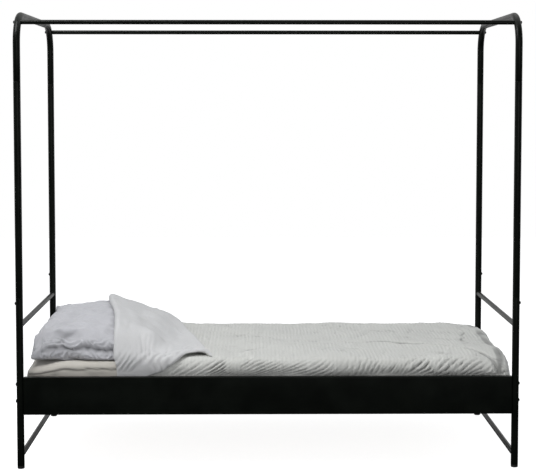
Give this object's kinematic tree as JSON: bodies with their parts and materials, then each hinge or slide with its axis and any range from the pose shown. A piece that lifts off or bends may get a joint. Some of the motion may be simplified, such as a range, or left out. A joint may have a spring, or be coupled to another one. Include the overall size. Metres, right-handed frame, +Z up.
{
  "type": "four poster canopy bed",
  "caption": "Single four poster bed of black steel tube with rounded canopy arches, flat side rails, a slatted base, a mattress, a pillow and a duvet turned back at the head.",
  "frame": {"origin": "on the floor under the middle of the bed", "axes": "+X along the bed from the pillow end to the foot end, +Y across the bed to the side away from the viewer, +Z up"},
  "size_m": [2.0986, 0.98, 1.897],
  "materials": {
    "frame_coat": "satin",
    "bolt_coat": "satin",
    "foot_plastic": "matte",
    "slat_pine": "matte",
    "strap_webbing": "matte",
    "mattress_ticking": "matte",
    "pillow_cotton": "matte",
    "duvet_cotton": "matte"
  },
  "bodies": {
    "frame": {"foot_cap_head_front": "foot_plastic", "lower_post_head_front": "frame_coat", "upper_post_head_front": "frame_coat", "foot_cap_head_back": "foot_plastic", "lower_post_head_back": "frame_coat", "upper_post_head_back": "frame_coat", "foot_cap_foot_front": "foot_plastic", "lower_post_foot_front": "frame_coat", "upper_post_foot_front": "frame_coat", "foot_cap_foot_back": "foot_plastic", "lower_post_foot_back": "frame_coat", "upper_post_foot_back": "frame_coat", "canopy_arch_head": "frame_coat", "canopy_arch_foot": "frame_coat", "canopy_bar_front": "frame_coat", "canopy_bar_back": "frame_coat", "upper_crossbar_head": "frame_coat", "lower_crossbar_head": "frame_coat", "upper_crossbar_foot": "frame_coat", "lower_crossbar_foot": "frame_coat", "side_rail_front": "frame_coat", "slat_ledge_front": "frame_coat", "side_rail_back": "frame_coat", "slat_ledge_back": "frame_coat", "rail_bolt_lower_head_front": "bolt_coat", "rail_bolt_upper_head_front": "bolt_coat", "post_bolt_head_front": "bolt_coat", "canopy_bolt_head_front": "bolt_coat", "rail_bolt_lower_head_back": "bolt_coat", "rail_bolt_upper_head_back": "bolt_coat", "post_bolt_head_back": "bolt_coat", "canopy_bolt_head_back": "bolt_coat", "rail_bolt_lower_foot_front": "bolt_coat", "rail_bolt_upper_foot_front": "bolt_coat", "post_bolt_foot_front": "bolt_coat", "canopy_bolt_foot_front": "bolt_coat", "rail_bolt_lower_foot_back": "bolt_coat", "rail_bolt_upper_foot_back": "bolt_coat", "post_bolt_foot_back": "bolt_coat", "canopy_bolt_foot_back": "bolt_coat", "slat_01": "slat_pine", "slat_02": "slat_pine", "slat_03": "slat_pine", "slat_04": "slat_pine", "slat_05": "slat_pine", "slat_06": "slat_pine", "slat_07": "slat_pine", "slat_08": "slat_pine", "slat_09": "slat_pine", "slat_10": "slat_pine", "slat_11": "slat_pine", "slat_12": "slat_pine", "slat_13": "slat_pine", "slat_strap_front": "strap_webbing", "slat_strap_back": "strap_webbing"},
    "mattress": {"mattress": "mattress_ticking"},
    "pillow": {"pillow": "pillow_cotton"},
    "duvet": {"duvet": "duvet_cotton"}
  },
  "joints": [
    {"name": "mattress_lift", "type": "slide", "parent": "frame", "child": "mattress", "axis": [0, 0, 1], "range_m": [0, 0.3]},
    {"name": "pillow_lift", "type": "slide", "parent": "mattress", "child": "pillow", "axis": [0, 0, 1], "range_m": [0, 0.3]},
    {"name": "duvet_lift", "type": "slide", "parent": "pillow", "child": "duvet", "axis": [0, 0, 1], "range_m": [0, 0.3]}
  ]
}
